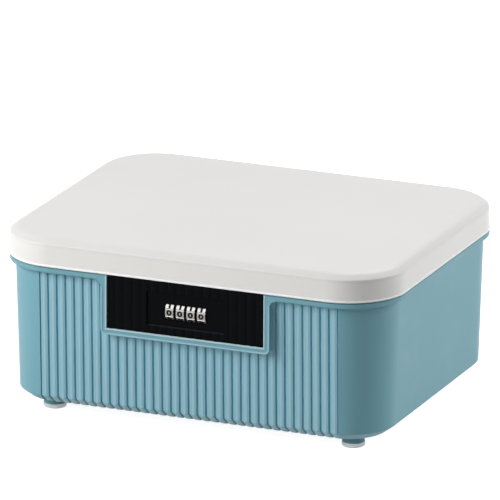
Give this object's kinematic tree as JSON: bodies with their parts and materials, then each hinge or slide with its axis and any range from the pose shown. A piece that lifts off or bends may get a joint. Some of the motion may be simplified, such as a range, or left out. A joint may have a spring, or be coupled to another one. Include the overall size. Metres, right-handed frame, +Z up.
{
  "type": "combination lock box",
  "caption": "Storage box with rounded corners, a hinged lid, an upright-ribbed front and a black lock plate with number wheels that hold the lid's catch.",
  "frame": {"origin": "middle of the bounding box's bottom, where the feet stand", "axes": "+Z up, +X to the right seen from the front, the lock faces -Y, the hinges are at +Y"},
  "size_m": [0.3, 0.2512, 0.1342],
  "materials": {
    "lid_plastic": "satin moulded, off-white",
    "cream_plastic": "satin moulded, cream",
    "body_plastic": "satin moulded, dusty blue-green",
    "black_plastic": "satin moulded, black",
    "dark_plastic": "moulded, dark grey",
    "cover_plate": "painted, grey-blue",
    "lever_plastic": "moulded, white",
    "number_wheel": "satin silver, numbers in black",
    "foot_pad": "soft, pale and milky",
    "screw_steel": "zinc-plated",
    "spring_steel": "bright",
    "shaft_steel": "ground",
    "catch_steel": "dark, warm tint",
    "sleeve_brass": "turned"
  },
  "bodies": {
    "box": {"body_shell": "body_plastic", "inner_liner": "cream_plastic", "foot_pads": "foot_pad", "base_screws": "screw_steel", "lock_fascia": "black_plastic", "fascia_screws": "screw_steel", "lock_housing": "dark_plastic", "lock_screws": "screw_steel", "lock_cover_plate": "cover_plate", "cover_screws": "screw_steel", "detent_spring": "spring_steel", "detent_screws": "screw_steel", "hinge_pin_left": "shaft_steel", "hinge_pin_right": "shaft_steel"},
    "lid": {"lid_shell": "lid_plastic", "lid_inner_panel": "cream_plastic", "lid_catch_plate": "catch_steel", "catch_teeth": "spring_steel", "catch_screws": "screw_steel"},
    "dial_1": {"dial_wheel_1": "number_wheel", "dial_sleeve_1": "sleeve_brass"},
    "dial_2": {"dial_wheel_2": "number_wheel", "dial_sleeve_2": "sleeve_brass"},
    "dial_3": {"dial_wheel_3": "number_wheel", "dial_sleeve_3": "sleeve_brass"},
    "dial_4": {"dial_wheel_4": "number_wheel", "dial_sleeve_4": "sleeve_brass"},
    "reset_slide": {"dial_shaft": "shaft_steel", "shaft_clip": "spring_steel", "reset_lever": "lever_plastic", "reset_spring": "spring_steel"}
  },
  "joints": [
    {"name": "lid_hinge", "type": "hinge", "parent": "box", "child": "lid", "pos_m": [0, 0.1222, 0.11], "axis": [-1, 0, 0], "range_deg": [0, 105]},
    {"name": "dial_1_turn", "type": "hinge", "parent": "box", "child": "dial_1", "pos_m": [-0.01215, -0.11669, 0.0914], "axis": [1, 0, 0], "continuous": true},
    {"name": "dial_2_turn", "type": "hinge", "parent": "box", "child": "dial_2", "pos_m": [-0.00405, -0.11669, 0.0914], "axis": [1, 0, 0], "continuous": true},
    {"name": "dial_3_turn", "type": "hinge", "parent": "box", "child": "dial_3", "pos_m": [0.00405, -0.11669, 0.0914], "axis": [1, 0, 0], "continuous": true},
    {"name": "dial_4_turn", "type": "hinge", "parent": "box", "child": "dial_4", "pos_m": [0.01215, -0.11669, 0.0914], "axis": [1, 0, 0], "continuous": true},
    {"name": "code_change_slide", "type": "slide", "parent": "box", "child": "reset_slide", "axis": [-1, 0, 0], "range_m": [0, 0.0016], "stiffness_N_per_m": 300, "springref_m": -0.003, "deforming": ["reset_spring"]}
  ]
}
